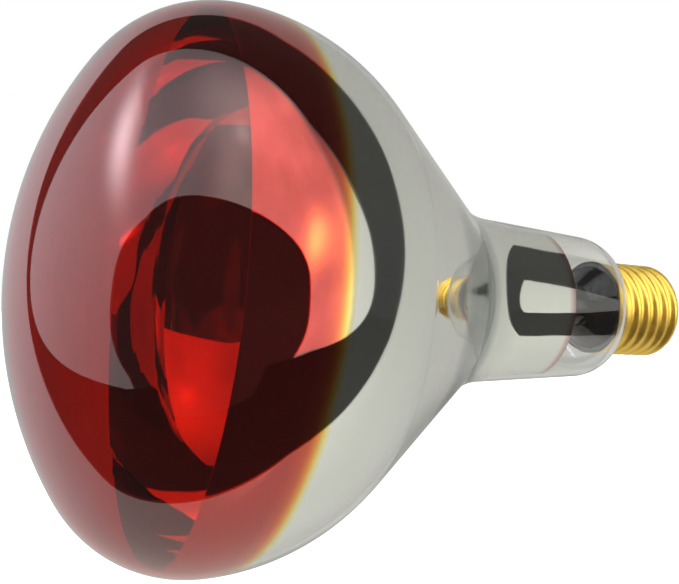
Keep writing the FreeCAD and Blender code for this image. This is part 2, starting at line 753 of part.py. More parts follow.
def check(doc):
    for item in doc.Objects:
        if "Invalid" in item.State or "Error" in item.State:
            raise RuntimeError(f"{item.Label} failed: {item.State}")


def main():
    doc = FreeCAD.newDocument("heat_lamp")
    make_sheet(doc)
    pieces = [glass_envelope(doc), ruby_stain(doc), mirror_coating(doc)]
    pieces += [screw_shell(doc), base_insulator(doc), centre_contact(doc), centre_solder(doc)]
    pieces += [side_weld(doc), basing_cement(doc)]
    pieces += [stem_flare(doc), stem_press(doc), exhaust_tube(doc), support_button(doc)]
    pieces.append(along_axis(doc, "support_rod", S.rod_radius, PRESS_END_BACK, S.rod_length))
    pieces += leads(doc)
    pieces.append(filament_coil(doc))
    pieces += [filament_hook(doc, number) for number in range(1, HOOK_COUNT + 1)]
    doc.recompute()
    check(doc)
    for piece in pieces:
        shape = piece.Shape
        if shape.isNull() or not shape.isValid() or len(shape.Solids) != 1:
            raise RuntimeError(f"{piece.Label} is not one sound solid")
    os.makedirs("parts", exist_ok=True)
    for piece in pieces:
        piece.Shape.exportStep(f"parts/{piece.Label}.step")
        box = piece.Shape.BoundBox
        print(f"{piece.Label:20s} volume {piece.Shape.Volume:10.2f}  "
              f"x {box.XMin:7.2f} {box.XMax:7.2f}  y {box.YMin:8.2f} {box.YMax:8.2f}  "
              f"z {box.ZMin:7.2f} {box.ZMax:7.2f}")


main()
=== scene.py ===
import math
import bpy
import numpy as np
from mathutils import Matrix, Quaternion, Vector


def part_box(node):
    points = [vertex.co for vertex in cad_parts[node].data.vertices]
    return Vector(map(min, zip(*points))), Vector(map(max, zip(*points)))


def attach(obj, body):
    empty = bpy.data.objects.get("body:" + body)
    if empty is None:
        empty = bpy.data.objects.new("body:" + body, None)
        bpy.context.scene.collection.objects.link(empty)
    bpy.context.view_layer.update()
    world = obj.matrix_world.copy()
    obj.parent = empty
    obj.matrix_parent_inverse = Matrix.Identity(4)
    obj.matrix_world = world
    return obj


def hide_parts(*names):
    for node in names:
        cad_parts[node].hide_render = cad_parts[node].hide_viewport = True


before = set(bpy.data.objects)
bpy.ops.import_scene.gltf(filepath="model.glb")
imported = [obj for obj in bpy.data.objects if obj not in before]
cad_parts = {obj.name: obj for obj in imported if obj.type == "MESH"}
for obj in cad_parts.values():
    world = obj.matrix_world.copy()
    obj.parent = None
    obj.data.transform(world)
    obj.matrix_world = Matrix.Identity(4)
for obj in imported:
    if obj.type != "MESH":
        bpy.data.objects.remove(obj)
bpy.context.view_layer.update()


# ---------------------------------------------------------------------------------------------
# Camera. The lamp is held level in front of it, face to the left and a little towards the
# lens, close enough that the near side of the bulb looks far larger than the screw cap.
# ---------------------------------------------------------------------------------------------
lens_place = Vector((0.1985, -0.2179, 0.0))
aim_point = Vector((0.0, -0.1103, 0.0225))
tilt = math.radians(3.8)
camera_data = bpy.data.cameras.new("studio_camera")
camera_data.lens = 48.91
camera_data.sensor_width = 36.0
camera_data.shift_y = -0.138
camera_data.clip_start = 0.01  # metres
studio_camera = bpy.data.objects.new("studio_camera", camera_data)
bpy.context.scene.collection.objects.link(studio_camera)
studio_camera.location = lens_place
studio_camera.rotation_mode = "QUATERNION"
studio_camera.rotation_quaternion = (
    (aim_point - lens_place).to_track_quat("-Z", "Y") @ Quaternion((0, 0, 1), tilt))
bpy.context.scene.camera = studio_camera
bpy.context.scene.view_settings.view_transform = "Standard"


# ---------------------------------------------------------------------------------------------
# Studio. A white sweep lies behind and under the lamp, a bright room is in front of it, and
# dark drape closes the gap between the two, so the glass and the mirror have edges to show.
# ---------------------------------------------------------------------------------------------
sweep_light, room_light, floor_lift = 0.56, 0.72, 0.13
camera_side = Vector((0.88, -0.48, 0.0))
window_posts = ((-44, -0.02, 0.05), (30, -0.1, 0.4))  # azimuth of the open side, edge start and end
sill_height, head_height, sill_glow, window_glow = -0.62, -0.22, 0.2, 0.95
patch_scale, patch_depth, patch_floor = 3.2, 1.5, 0.25
soft_glows = (  # azimuth, elevation, sharpness, strength
    (225, 16, 5, 0.55), (285, 25, 6, 0.4), (325, 55, 260, 1.0), (303, 64, 16, 1.15),
    (132, 6, 300, 0.2), (134, -11, 90, -0.2))
tube_narrowness, tube_shortness, tube_glow = 220, 45, 3.9
lamp_bulbs, lamp_sharpness = ((23, 14), (28, 19)), 150
light_colours = (  # share of the plain light, change towards the left, share of the warm lamp
    ("Red", 1.0, -0.1, 3.6), ("Green", 0.99, 0.02, 3.2), ("Blue", 0.93, 0.16, 0.7))
sweep_edge = ((322, 20), 110, 98)  # middle direction, reach across and up, in degrees
room_edge = ((314, 28), 100, 58)
outline_turns, drape_steps, drape_distance, drape_shade = 96, 6, 1.2, 0.045
card_middle, card_distance, card_shade = (316, -8), 0.9, 0.085
card_half_wide, card_half_high, card_squareness = 1.9, 0.62, 0.6


def math_node(tree, operation, first, second=None, third=None):
    """One Math node; each input is a number or a socket."""
    node = tree.nodes.new("ShaderNodeMath")
    node.operation = operation
    for place, value in enumerate((first, second, third)):
        if value is None:
            continue
        if isinstance(value, (int, float)):
            node.inputs[place].default_value = value
        else:
            tree.links.new(value, node.inputs[place])
    return node.outputs[0]


def along(tree, vector, direction):
    """How far a vector reaches along a direction."""
    node = tree.nodes.new("ShaderNodeVectorMath")
    node.operation = "DOT_PRODUCT"
    tree.links.new(vector, node.inputs[0])
    node.inputs[1].default_value = direction
    return node.outputs["Value"]


def compass(azimuth, elevation):
    """Direction from +X towards +Y by the azimuth and up by the elevation, in degrees."""
    a, e = math.radians(azimuth), math.radians(elevation)
    return Vector((math.cos(e) * math.cos(a), math.cos(e) * math.sin(a), math.sin(e)))


def slide(tree, value, low, high, to_low=0.0, to_high=1.0):
    """Ease a value's range to another, held at the ends."""
    node = tree.nodes.new("ShaderNodeMapRange")
    node.interpolation_type = "SMOOTHSTEP"
    for key, number in (("From Min", low), ("From Max", high), ("To Min", to_low), ("To Max", to_high)):
        node.inputs[key].default_value = number
    tree.links.new(value, node.inputs["Value"])
    return node.outputs["Result"]


def facing(tree, vector, direction):
    """How far a vector reaches along a direction, none if it points away."""
    return math_node(tree, "MAXIMUM", along(tree, vector, direction), 0.0)


world = bpy.data.worlds.new("studio")
bpy.context.scene.world = world
world.use_nodes = True
tree = world.node_tree
tree.nodes.clear()
looking = tree.nodes.new("ShaderNodeTexCoord").outputs["Generated"]
upward = along(tree, looking, (0, 0, 1))
front = slide(tree, along(tree, looking, camera_side), -0.4, 0.4, sweep_light, room_light)
level = math_node(tree, "MULTIPLY_ADD", upward, -floor_lift, front)
# A wide window beside the lens, open from its right post round to the left, dim under its sill.
window = slide(tree, upward, sill_height, head_height, sill_glow, window_glow)
for azimuth, start, full in window_posts:
    post = slide(tree, along(tree, looking, compass(azimuth, 0)), start, full)
    window = math_node(tree, "MULTIPLY", window, post)
# The view in the window is uneven, in soft patches.
patches = tree.nodes.new("ShaderNodeTexNoise")
patches.inputs["Scale"].default_value, patches.inputs["Detail"].default_value = patch_scale, 3.0
tree.links.new(looking, patches.inputs["Vector"])
patch_light = math_node(tree, "MULTIPLY_ADD", patches.outputs["Fac"], patch_depth, patch_floor)
level = math_node(tree, "MULTIPLY_ADD", window, patch_light, level)
# Pale glows left of the lens and over it; the sweep is paler above the cap than below it.
for azimuth, elevation, sharpness, strength in soft_glows:
    glow = math_node(tree, "POWER", facing(tree, looking, compass(azimuth, elevation)), sharpness)
    level = math_node(tree, "MULTIPLY_ADD", glow, strength, level)
# A leaning light tube on the left.
tube_top, tube_foot = compass(223, 37), compass(247, 15)
off_line = along(tree, looking, tube_top.cross(tube_foot).normalized())
on_line = math_node(tree, "SUBTRACT", 1.0, math_node(tree, "MULTIPLY", off_line, off_line))
on_line = math_node(tree, "POWER", on_line, tube_narrowness)
near = math_node(tree, "POWER", facing(tree, looking, (tube_top + tube_foot).normalized()), tube_shortness)
level = math_node(tree, "MULTIPLY_ADD", math_node(tree, "MULTIPLY", on_line, near), tube_glow, level)
# A warm lamp in the window, and light that is bluer on the left than on the right.
lamp_light = 0.0
for azimuth, elevation in lamp_bulbs:
    glow = math_node(tree, "POWER", facing(tree, looking, compass(azimuth, elevation)), lamp_sharpness)
    lamp_light = math_node(tree, "ADD", glow, lamp_light)
leftward = facing(tree, looking, compass(235, 20))
tint = tree.nodes.new("ShaderNodeCombineColor")
for channel, share, lean, warm in light_colours:
    plain = math_node(tree, "MULTIPLY", level, math_node(tree, "MULTIPLY_ADD", leftward, lean, share))
    tree.links.new(math_node(tree, "MULTIPLY_ADD", lamp_light, warm, plain), tint.inputs[channel])
# Seen directly, the world is plain white.
around = tree.nodes.new("ShaderNodeBackground")
tree.links.new(tint.outputs[0], around.inputs["Color"])
backdrop = tree.nodes.new("ShaderNodeBackground")
backdrop.inputs["Color"].default_value = (1, 1, 1, 1)
seen = tree.nodes.new("ShaderNodeMixShader")
tree.links.new(tree.nodes.new("ShaderNodeLightPath").outputs["Is Camera Ray"], seen.inputs["Fac"])
tree.links.new(around.outputs[0], seen.inputs[1])
tree.links.new(backdrop.outputs[0], seen.inputs[2])
tree.links.new(seen.outputs[0], tree.nodes.new("ShaderNodeOutputWorld").inputs["Surface"])

studio_middle = Vector((0.0, -0.12, 0.0))


def mesh_object(name, points, faces, sharp=None):
    """A mesh piece from points in metres, smooth but for edges sharper than the given angle."""
    mesh = bpy.data.meshes.new(name)
    mesh.from_pydata([tuple(p) for p in points], [], faces)
    mesh.validate()
    mesh.shade_smooth()
    if sharp is not None:
        mesh.set_sharp_from_angle(angle=math.radians(sharp))
    piece = bpy.data.objects.new(name, mesh)
    bpy.context.scene.collection.objects.link(piece)
    return piece


def dark_cloth(name, points, faces, shade):
    """Dark matt cloth or card that only shows in reflections and through the glass."""
    piece = mesh_object(name, points, faces)
    cloth = bpy.data.materials.new(name)
    cloth.use_nodes = True
    shader = cloth.node_tree.nodes["Principled BSDF"]
    shader.inputs["Base Color"].default_value = (shade, shade * 0.95, shade * 0.92, 1)
    shader.inputs["Roughness"].default_value = 1.0
    shader.inputs["Specular IOR Level"].default_value = 0.0
    piece.data.materials.append(cloth)
    piece.visible_camera = piece.visible_diffuse = piece.visible_shadow = False


def rim(middle, wide, high, turn):
    """A direction on the oval round a middle; wide and high are how far it reaches, in degrees."""
    ahead = compass(*middle)
    side = Vector((0, 0, 1)).cross(ahead).normalized()
    x, y = wide * math.cos(turn), high * math.sin(turn)
    across = (side * x + ahead.cross(side) * y).normalized()
    reach = math.radians(math.hypot(x, y))
    return ahead * math.cos(reach) + across * math.sin(reach)


# Drape hung all round between two ovals, the edge of the sweep outside and the bright room inside.
drape_points, drape_faces = [], []
for i in range(outline_turns):
    turn = 2 * math.pi * i / outline_turns
    outer, inner = rim(*sweep_edge, turn), rim(*room_edge, turn)
    for m in range(drape_steps + 1):
        drape_points.append(studio_middle + outer.lerp(inner, m / drape_steps).normalized() * drape_distance)
for i in range(outline_turns):
    for m in range(drape_steps):
        a = i * (drape_steps + 1) + m
        b = ((i + 1) % outline_turns) * (drape_steps + 1) + m
        drape_faces.append((a, a + 1, b + 1, b))
dark_cloth("dark_drape", drape_points, drape_faces, drape_shade)

# A flat card with well-rounded corners stands round the lens, so that the camera doesn't show in the
# glass. Its outline is an oval at a squareness of 1 and a rectangle towards 0.
card_ahead = compass(*card_middle)
card_side = Vector((0, 0, 1)).cross(card_ahead).normalized()
card_points = []
for i in range(outline_turns):
    turn = 2 * math.pi * i / outline_turns
    reach = math.copysign(abs(math.cos(turn)) ** card_squareness, math.cos(turn)) * card_half_wide
    rise = math.copysign(abs(math.sin(turn)) ** card_squareness, math.sin(turn)) * card_half_high
    card_points.append(studio_middle + card_ahead * card_distance + card_side * reach
                       + card_ahead.cross(card_side) * rise)
dark_cloth("lens_card", card_points, [tuple(range(outline_turns))], card_shade)

# White paper floor well under the lamp; it glows a little, and only the eye sees it.
half, low = 3.0, -0.14
studio_floor = mesh_object("studio_floor", [(-half, -half, low), (half, -half, low), (half, half, low),
                                            (-half, half, low)], [(0, 1, 2, 3)])
paper = bpy.data.materials.new("sweep_paper")
paper.use_nodes = True
paper_shader = paper.node_tree.nodes["Principled BSDF"]
paper_shader.inputs["Base Color"].default_value = (0.9, 0.9, 0.9, 1)
paper_shader.inputs["Roughness"].default_value = 0.9
paper_shader.inputs["Emission Color"].default_value = (1, 1, 1, 1)
paper_shader.inputs["Emission Strength"].default_value = 0.6
studio_floor.data.materials.append(paper)
studio_floor.visible_glossy = studio_floor.visible_transmission = False


# ---------------------------------------------------------------------------------------------
# Bulb glass. One blown hard-glass envelope, 1 mm thick: domed face, rounded edge, bowl, cone
# and neck. The face is dipped in ruby stain and fired, which leaves an amber line at its edge.
# ---------------------------------------------------------------------------------------------
MM = 0.001
lowest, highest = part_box("glass_envelope")
glass_apex_y, seal_y = lowest.y, highest.y
bulb_r = highest.x
face_r, edge_r, bowl_r = 90.8 * MM, 29.5 * MM, 51.9 * MM
bowl_slope, neck_taper = math.radians(37.5), math.radians(3.3)
neck_fillet_r, shoulder_r, seal_r = 28.0 * MM, 8.0 * MM, 11.61 * MM
widest_y = -146.9 * MM
glass_wall = 1.0 * MM
round_steps = 192


def arc_points(centre, radius, start, end, count):
    """Points (r, y) on an arc, angles in radians from straight out towards the cap."""
    angles = np.linspace(start, end, count)
    return np.c_[centre[0] + radius * np.cos(angles), centre[1] + radius * np.sin(angles)]


def bulb_line(inset):
    """The bulb's outline moved in by the inset: points (r, y) from the face's tip to the seal."""
    face = (0.0, glass_apex_y + face_r)
    edge = (bulb_r - edge_r, widest_y)
    bowl = (bulb_r - bowl_r, widest_y)
    meet = math.atan2(edge[1] - face[1], edge[0] - face[0])
    parts = [arc_points(face, face_r - inset, -math.pi / 2, meet, 50),
             arc_points(edge, edge_r - inset, meet, 0.0, 44),
             arc_points(bowl, bowl_r - inset, 0.0, bowl_slope, 44)]
    start, fillet_r = parts[-1][-1], neck_fillet_r + inset
    cone_side = start[0] * math.cos(bowl_slope) + start[1] * math.sin(bowl_slope) + fillet_r
    shoulder = (seal_r, seal_y - shoulder_r)
    foot = (seal_r + (shoulder_r - inset) / math.cos(neck_taper), shoulder[1])
    neck_side = foot[0] * math.cos(neck_taper) + foot[1] * math.sin(neck_taper) + fillet_r
    spread = math.sin(neck_taper - bowl_slope)
    fillet = ((cone_side * math.sin(neck_taper) - neck_side * math.sin(bowl_slope)) / spread,
              (neck_side * math.cos(bowl_slope) - cone_side * math.cos(neck_taper)) / spread)
    parts.append(arc_points(fillet, fillet_r, math.pi + bowl_slope, math.pi + neck_taper, 30))
    parts.append(arc_points(shoulder, shoulder_r - inset, neck_taper, math.pi / 2, 28))
    line = np.vstack([part if i == 0 else part[1:] for i, part in enumerate(parts)])
    # Long straight runs get points of their own, so that the shading stays even.
    spaced = [line[0]]
    for point in line[1:]:
        gap = np.hypot(*(point - spaced[-1]))
        count = max(1, int(gap / (2.0 * MM)))
        spaced.extend(spaced[-1] + (point - spaced[-1]) * (k + 1) / count for k in range(count))
    return np.array(spaced)


def revolve(name, line, closed, sharp):
    """Turn an outline (r, y) about the lamp's axis; a point on the axis becomes one vertex."""
    points, rings, steps = [], [], round_steps
    for r, y in line:
        if r < 1e-7:
            rings.append([len(points)])
            points.append((0.0, y, 0.0))
        else:
            rings.append(list(range(len(points), len(points) + steps)))
            points.extend((r * math.cos(2 * math.pi * k / steps), y, r * math.sin(2 * math.pi * k / steps))
                          for k in range(steps))
    faces = []
    pairs = list(zip(rings, rings[1:])) + ([(rings[-1], rings[0])] if closed else [])
    for a, b in pairs:
        for k in range(steps):
            n = (k + 1) % steps
            if len(a) == 1 and len(b) > 1:
                faces.append((a[0], b[k], b[n]))
            elif len(b) == 1 and len(a) > 1:
                faces.append((a[k], b[0], a[n]))
            elif len(a) > 1:
                faces.append((a[k], b[k], b[n], a[n]))
    return mesh_object(name, points, faces, sharp)


outer_line, inner_line = bulb_line(0.0), bulb_line(glass_wall)
bulb_glass = revolve("bulb_glass", np.vstack([outer_line, inner_line[::-1]]), False, 50)


def new_finish(name):
    """A node material: its tree, its shader, and the piece's own coordinates in metres."""
    finish = bpy.data.materials.new(name)
    finish.use_nodes = True
    place = finish.node_tree.nodes.new("ShaderNodeTexCoord").outputs["Object"]
    return finish, finish.node_tree, finish.node_tree.nodes["Principled BSDF"], place


def grain(tree, place, scale, detail=3.0, stretch=(1, 1, 1)):
    """Soft uneven grain; the scale is in grains per metre."""
    mapping = tree.nodes.new("ShaderNodeMapping")
    mapping.inputs["Scale"].default_value = stretch
    tree.links.new(place, mapping.inputs["Vector"])
    noise = tree.nodes.new("ShaderNodeTexNoise")
    noise.inputs["Scale"].default_value = scale
    noise.inputs["Detail"].default_value = detail
    tree.links.new(mapping.outputs[0], noise.inputs["Vector"])
    return noise.outputs["Fac"]


def ramp(tree, value, stops):
    """Colours along a 0 to 1 value."""
    node = tree.nodes.new("ShaderNodeValToRGB")
    tree.links.new(value, node.inputs["Fac"])
    while len(node.color_ramp.elements) < len(stops):
        node.color_ramp.elements.new(0.5)
    for element, (position, colour) in zip(node.color_ramp.elements, stops):
        element.position, element.color = position, (*colour, 1.0)
    return node.outputs["Color"]


def spread(tree, value, low, high, to_low=0.0, to_high=1.0):
    """Map a value's range evenly to another, held at the ends."""
    node = tree.nodes.new("ShaderNodeMapRange")
    for key, number in (("From Min", low), ("From Max", high), ("To Min", to_low), ("To Max", to_high)):
        node.inputs[key].default_value = number
    tree.links.new(value, node.inputs["Value"])
    return node.outputs["Result"]


def dent(tree, shader, height, depth):
    """Bump the shader's normal by a height of the given depth in metres."""
    bump = tree.nodes.new("ShaderNodeBump")
    bump.inputs["Distance"].default_value = depth
    tree.links.new(height, bump.inputs["Height"])
    tree.links.new(bump.outputs["Normal"], shader.inputs["Normal"])


stain_edge = 140.5 * MM
stain_tilt = (-0.0106, -1.0, 0.0339)
clear_tint, pale_yellow, amber = (0.985, 0.99, 0.975), (1.0, 0.90, 0.45), (0.95, 0.50, 0.06)
red_orange, light_ruby, ruby = (0.80, 0.22, 0.05), (0.70, 0.10, 0.05), (0.62, 0.065, 0.045)
wander, glass_wave = 0.8 * MM, 0.12 * MM
glass_finish, tree, shader, place = new_finish("ruby_faced_glass")
reach = math_node(tree, "MULTIPLY_ADD", grain(tree, place, 60, 2), wander, along(tree, place, stain_tilt))
edge_band = spread(tree, reach, stain_edge - 5 * MM, stain_edge + 40 * MM)
stain_colour = ramp(tree, edge_band, (
    (0.070, clear_tint), (0.095, pale_yellow), (0.120, amber), (0.150, red_orange), (0.21, light_ruby),
    (0.9, ruby)))
tree.links.new(stain_colour, shader.inputs["Base Color"])
shader.inputs["Roughness"].default_value = 0.0
shader.inputs["IOR"].default_value = 1.72
shader.inputs["Transmission Weight"].default_value = 1.0
dent(tree, shader, grain(tree, place, 28, 1), glass_wave)
bulb_glass.data.materials.append(glass_finish)
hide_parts("glass_envelope", "ruby_stain")
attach(bulb_glass, "lamp")


# ---------------------------------------------------------------------------------------------
# Mirror. Aluminium is evaporated on to the inside of the bowl and the neck as a film that
# stops short of the stem; its front edge runs behind the ruby glass, a little out of square.
# ---------------------------------------------------------------------------------------------
film_gap, film_wall = 0.05 * MM, 0.08 * MM
mirror_rear_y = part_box("mirror_coating")[1].y
mirror_front_y, front_lean_x, front_lean_z = -153.1 * MM, -0.088, 0.019


def mirror_line(inset, start_y, rows):
    """Points (r, y) down the film from its front edge to its rear edge, evenly spaced."""
    line = bulb_line(inset)
    run = np.r_[0.0, np.cumsum(np.hypot(*np.diff(line, axis=0).T))]
    first, last = np.interp((start_y, mirror_rear_y), line[:, 1], run)
    places = np.linspace(first, last, rows)
    return np.c_[np.interp(places, run, line[:, 0]), np.interp(places, run, line[:, 1])]


mirror_rows, lean_rounds = 110, 3
points, faces = [], []
for k in range(round_steps):
    turn = 2 * math.pi * k / round_steps
    start_y = mirror_front_y
    for _ in range(lean_rounds):
        r = mirror_line(glass_wall + film_gap, start_y, 2)[0][0]
        start_y = mirror_front_y + front_lean_x * r * math.cos(turn) + front_lean_z * r * math.sin(turn)
    outside = mirror_line(glass_wall + film_gap, start_y, mirror_rows)
    inside = mirror_line(glass_wall + film_gap + film_wall, start_y, mirror_rows)[::-1]
    points.extend((r * math.cos(turn), y, r * math.sin(turn)) for r, y in np.vstack([outside, inside]))
wide = 2 * mirror_rows
for k in range(round_steps):
    n = (k + 1) % round_steps
    faces.extend((k * wide + m, k * wide + (m + 1) % wide, n * wide + (m + 1) % wide, n * wide + m)
                 for m in range(wide))
mirror_film = mesh_object("mirror_film", points, faces, 50)
mirror_finish, tree, shader, place = new_finish("evaporated_aluminium")
cloud = grain(tree, place, 45, 4)
# The film's colour and the tint of its reflections are painted darker, as painted shade, in a band where the
# cone turns into the neck, and go rosy at its rear edge.
bend_start_y = -99.5 * MM
full_film, painted_shade_film, film_end = (1.0, 1.0, 1.0), (0.50, 0.56, 0.545), (0.60, 0.30, 0.28)
along_bulb = spread(tree, along(tree, place, (0, 1, 0)), bend_start_y, mirror_rear_y)
painted_shade_and_rosy_end = ramp(tree, along_bulb, (
    (0.0, full_film), (0.10, painted_shade_film), (0.38, painted_shade_film), (0.46, full_film), (0.955, full_film),
    (1.0, film_end)))
tinted = tree.nodes.new("ShaderNodeMixRGB")
tinted.blend_type = "MULTIPLY"
tinted.inputs["Fac"].default_value = 1.0
tree.links.new(ramp(tree, cloud, ((0.3, (0.86, 0.87, 0.83)), (0.7, (0.92, 0.93, 0.89)))), tinted.inputs[1])
tree.links.new(painted_shade_and_rosy_end, tinted.inputs[2])
tree.links.new(tinted.outputs[0], shader.inputs["Base Color"])
# The same painted shade dims the film's reflections in that band.
tree.links.new(painted_shade_and_rosy_end, shader.inputs["Specular Tint"])
tree.links.new(spread(tree, cloud, 0.3, 0.7, 0.015, 0.05), shader.inputs["Roughness"])
shader.inputs["Metallic"].default_value = 1.0
dent(tree, shader, grain(tree, place, 30, 2), 0.25 * MM)
mirror_film.data.materials.append(mirror_finish)
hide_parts("mirror_coating")
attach(mirror_film, "lamp")


# ---------------------------------------------------------------------------------------------
# Screw shell. Thin brass sheet drawn to a cup and rolled to a round thread, with a plain skirt
# cemented to the glass and its far end turned in over the black glass.
# ---------------------------------------------------------------------------------------------
shell_low, shell_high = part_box("screw_shell")
shell_r, rim_y, lip_y = shell_high.x, shell_low.y, shell_high.y
thread_pitch, thread_depth, thread_arc = 3.629 * MM, 1.07 * MM, 1.025 * MM
skirt, sheet, lip_round, lip_bore_r = 3.0 * MM, 0.3 * MM, 1.4 * MM, 9.2 * MM
first_valley_y = rim_y + skirt + thread_pitch / 2
shell_rows, shell_steps = 190, 216


def smooth(value):
    """Ease from 0 to 1."""
    value = min(1.0, max(0.0, value))
    return value * value * (3 - 2 * value)


def thread_drop(turn, y):
    """How far the rolled thread lies below the plain shell at a turn and a place along it."""
    half_pitch = thread_pitch / 2
    valley_r = shell_r - thread_depth + thread_arc
    crest_r = valley_r - math.sqrt(4 * thread_arc ** 2 - half_pitch ** 2)
    phase = (y - first_valley_y) / thread_pitch - turn / (2 * math.pi)
    away = abs(phase - round(phase)) * thread_pitch
    if away < half_pitch / 2:
        r = valley_r - math.sqrt(thread_arc ** 2 - away ** 2)
    else:
        r = crest_r + math.sqrt(thread_arc ** 2 - (half_pitch - away) ** 2)
    starts = smooth((y - rim_y - 0.75 * skirt) / (0.7 * skirt))
    ends = smooth((lip_y - lip_round - y) / (1.2 * MM))
    return (shell_r - min(r, shell_r)) * starts * ends


points, faces = [], []
lip_arc = [math.pi / 2 * k / 10 for k in range(11)]
for k in range(shell_steps):
    turn = 2 * math.pi * k / shell_steps
    ys = [rim_y + (lip_y - lip_round - rim_y) * m / shell_rows for m in range(shell_rows + 1)]
    outside = [(shell_r - thread_drop(turn, y), y) for y in ys[:-1]]
    outside += [(shell_r - lip_round + lip_round * math.cos(a), lip_y - lip_round + lip_round * math.sin(a))
                for a in lip_arc]
    outside += [(lip_bore_r + 0.15 * MM, lip_y), (lip_bore_r, lip_y - 0.15 * MM)]
    inside = [(lip_bore_r, lip_y - sheet)]
    inside += [(shell_r - lip_round + (lip_round - sheet) * math.cos(a),
                lip_y - lip_round + (lip_round - sheet) * math.sin(a)) for a in reversed(lip_arc)]
    inside += [(shell_r - sheet - thread_drop(turn, y), y) for y in reversed(ys[:-1])]
    section = outside + inside
    points.extend((r * math.cos(turn), y, -r * math.sin(turn)) for r, y in section)
wide = len(section)
for k in range(shell_steps):
    n = (k + 1) % shell_steps
    faces.extend((k * wide + m, n * wide + m, n * wide + (m + 1) % wide, k * wide + (m + 1) % wide)
                 for m in range(wide))
rolled_shell = mesh_object("rolled_shell", points, faces, 60)
brass_finish, tree, shader, place = new_finish("rolled_brass")
rolling = grain(tree, place, 900, 3, (0.12, 1.0, 0.12))
tarnish = grain(tree, place, 260, 5)
tree.links.new(ramp(tree, tarnish, (
    (0.25, (0.86, 0.50, 0.09)), (0.45, (0.98, 0.65, 0.12)), (0.75, (1.0, 0.71, 0.17)))),
    shader.inputs["Base Color"])
tree.links.new(spread(tree, math_node(tree, "ADD", rolling, tarnish), 0.7, 1.3, 0.36, 0.5),
               shader.inputs["Roughness"])
shader.inputs["Metallic"].default_value = 1.0
dent(tree, shader, rolling, 0.02 * MM)
rolled_shell.data.materials.append(brass_finish)
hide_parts("screw_shell")
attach(rolled_shell, "lamp")

# A soft box over the cap's right shoulder lights the cap alone.
cap_pieces = bpy.data.collections.new("cap_pieces")
cap_pieces.objects.link(rolled_shell)
cap_light_data = bpy.data.lights.new("cap_softbox", "AREA")
cap_light_data.shape, cap_light_data.size = "SQUARE", 0.6
cap_light_data.energy = 1.35  # watts
cap_light_data.color = (1.0, 0.97, 0.9)
cap_light = bpy.data.objects.new("cap_softbox", cap_light_data)
bpy.context.scene.collection.objects.link(cap_light)
cap_light.location = (0.46, 0.10, 0.20)
cap_light.rotation_mode = "QUATERNION"
cap_light.rotation_quaternion = (Vector((0, rim_y, 0)) - cap_light.location).to_track_quat("-Z", "Y")
cap_light.visible_camera = False
cap_light.light_linking.receiver_collection = cap_pieces


# ---------------------------------------------------------------------------------------------
# Cap end. Black glass is poured into the shell's far end and holds the centre contact, a brass
# disc; the lead's end is soldered over the disc's hole, and the side lead to the shell's bore.
# ---------------------------------------------------------------------------------------------
def refinish(node, finish):
    """Give a CAD node its real finish."""
    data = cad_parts[node].data
    data.materials.clear()
    data.materials.append(finish)


black_glass, tree, shader, place = new_finish("black_cap_glass")
swirl = grain(tree, place, 400, 4)
tree.links.new(ramp(tree, swirl, ((0.3, (0.006, 0.006, 0.007)), (0.75, (0.022, 0.02, 0.022)))),
               shader.inputs["Base Color"])
tree.links.new(spread(tree, swirl, 0.3, 0.7, 0.08, 0.28), shader.inputs["Roughness"])
shader.inputs["Coat Weight"].default_value = 0.4
dent(tree, shader, grain(tree, place, 900, 2), 0.04 * MM)
refinish("base_insulator", black_glass)

contact_brass, tree, shader, place = new_finish("stamped_contact_brass")
rub = grain(tree, place, 1200, 4)
tree.links.new(ramp(tree, rub, ((0.3, (0.66, 0.42, 0.12)), (0.65, (0.92, 0.68, 0.24)))),
               shader.inputs["Base Color"])
tree.links.new(spread(tree, rub, 0.3, 0.7, 0.2, 0.45), shader.inputs["Roughness"])
shader.inputs["Metallic"].default_value = 1.0
dent(tree, shader, rub, 0.02 * MM)
refinish("centre_contact", contact_brass)

solder, tree, shader, place = new_finish("cold_solder")
frost = grain(tree, place, 1500, 5)
tree.links.new(ramp(tree, frost, ((0.3, (0.42, 0.42, 0.43)), (0.7, (0.74, 0.74, 0.75)))),
               shader.inputs["Base Color"])
tree.links.new(spread(tree, frost, 0.3, 0.7, 0.18, 0.45), shader.inputs["Roughness"])
shader.inputs["Metallic"].default_value = 1.0
dent(tree, shader, frost, 0.05 * MM)
refinish("centre_solder", solder)
refinish("side_weld", solder)


# ---------------------------------------------------------------------------------------------
# Basing cement. A ring of baked mineral cement between shell and glass; a thin bead of it has
# squeezed out and set round the shell's rim.
# ---------------------------------------------------------------------------------------------
cement, tree, shader, place = new_finish("baked_cement")
grit = grain(tree, place, 1600, 6)
tree.links.new(ramp(tree, grit, ((0.3, (0.42, 0.36, 0.27)), (0.7, (0.72, 0.66, 0.54)))),
               shader.inputs["Base Color"])
tree.links.new(spread(tree, grit, 0.3, 0.7, 0.7, 0.95), shader.inputs["Roughness"])
dent(tree, shader, grit, 0.1 * MM)
refinish("basing_cement", cement)

bead_r, bead_middle_r, bead_steps = 0.28 * MM, 12.85 * MM, 16
bead_line = [(bead_middle_r + bead_r * math.cos(2 * math.pi * k / bead_steps),
              rim_y - 0.05 * MM + bead_r * math.sin(2 * math.pi * k / bead_steps))
             for k in range(bead_steps)]
cement_bead = revolve("cement_bead", bead_line, True, None)
for vertex in cement_bead.data.vertices:
    turn = math.atan2(vertex.co.z, vertex.co.x)
    swell = 1 + 0.010 * math.sin(5 * turn + 0.4) + 0.006 * math.sin(11 * turn)
    vertex.co.x *= swell
    vertex.co.z *= swell
cement_bead.data.materials.append(cement)
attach(cement_bead, "lamp")


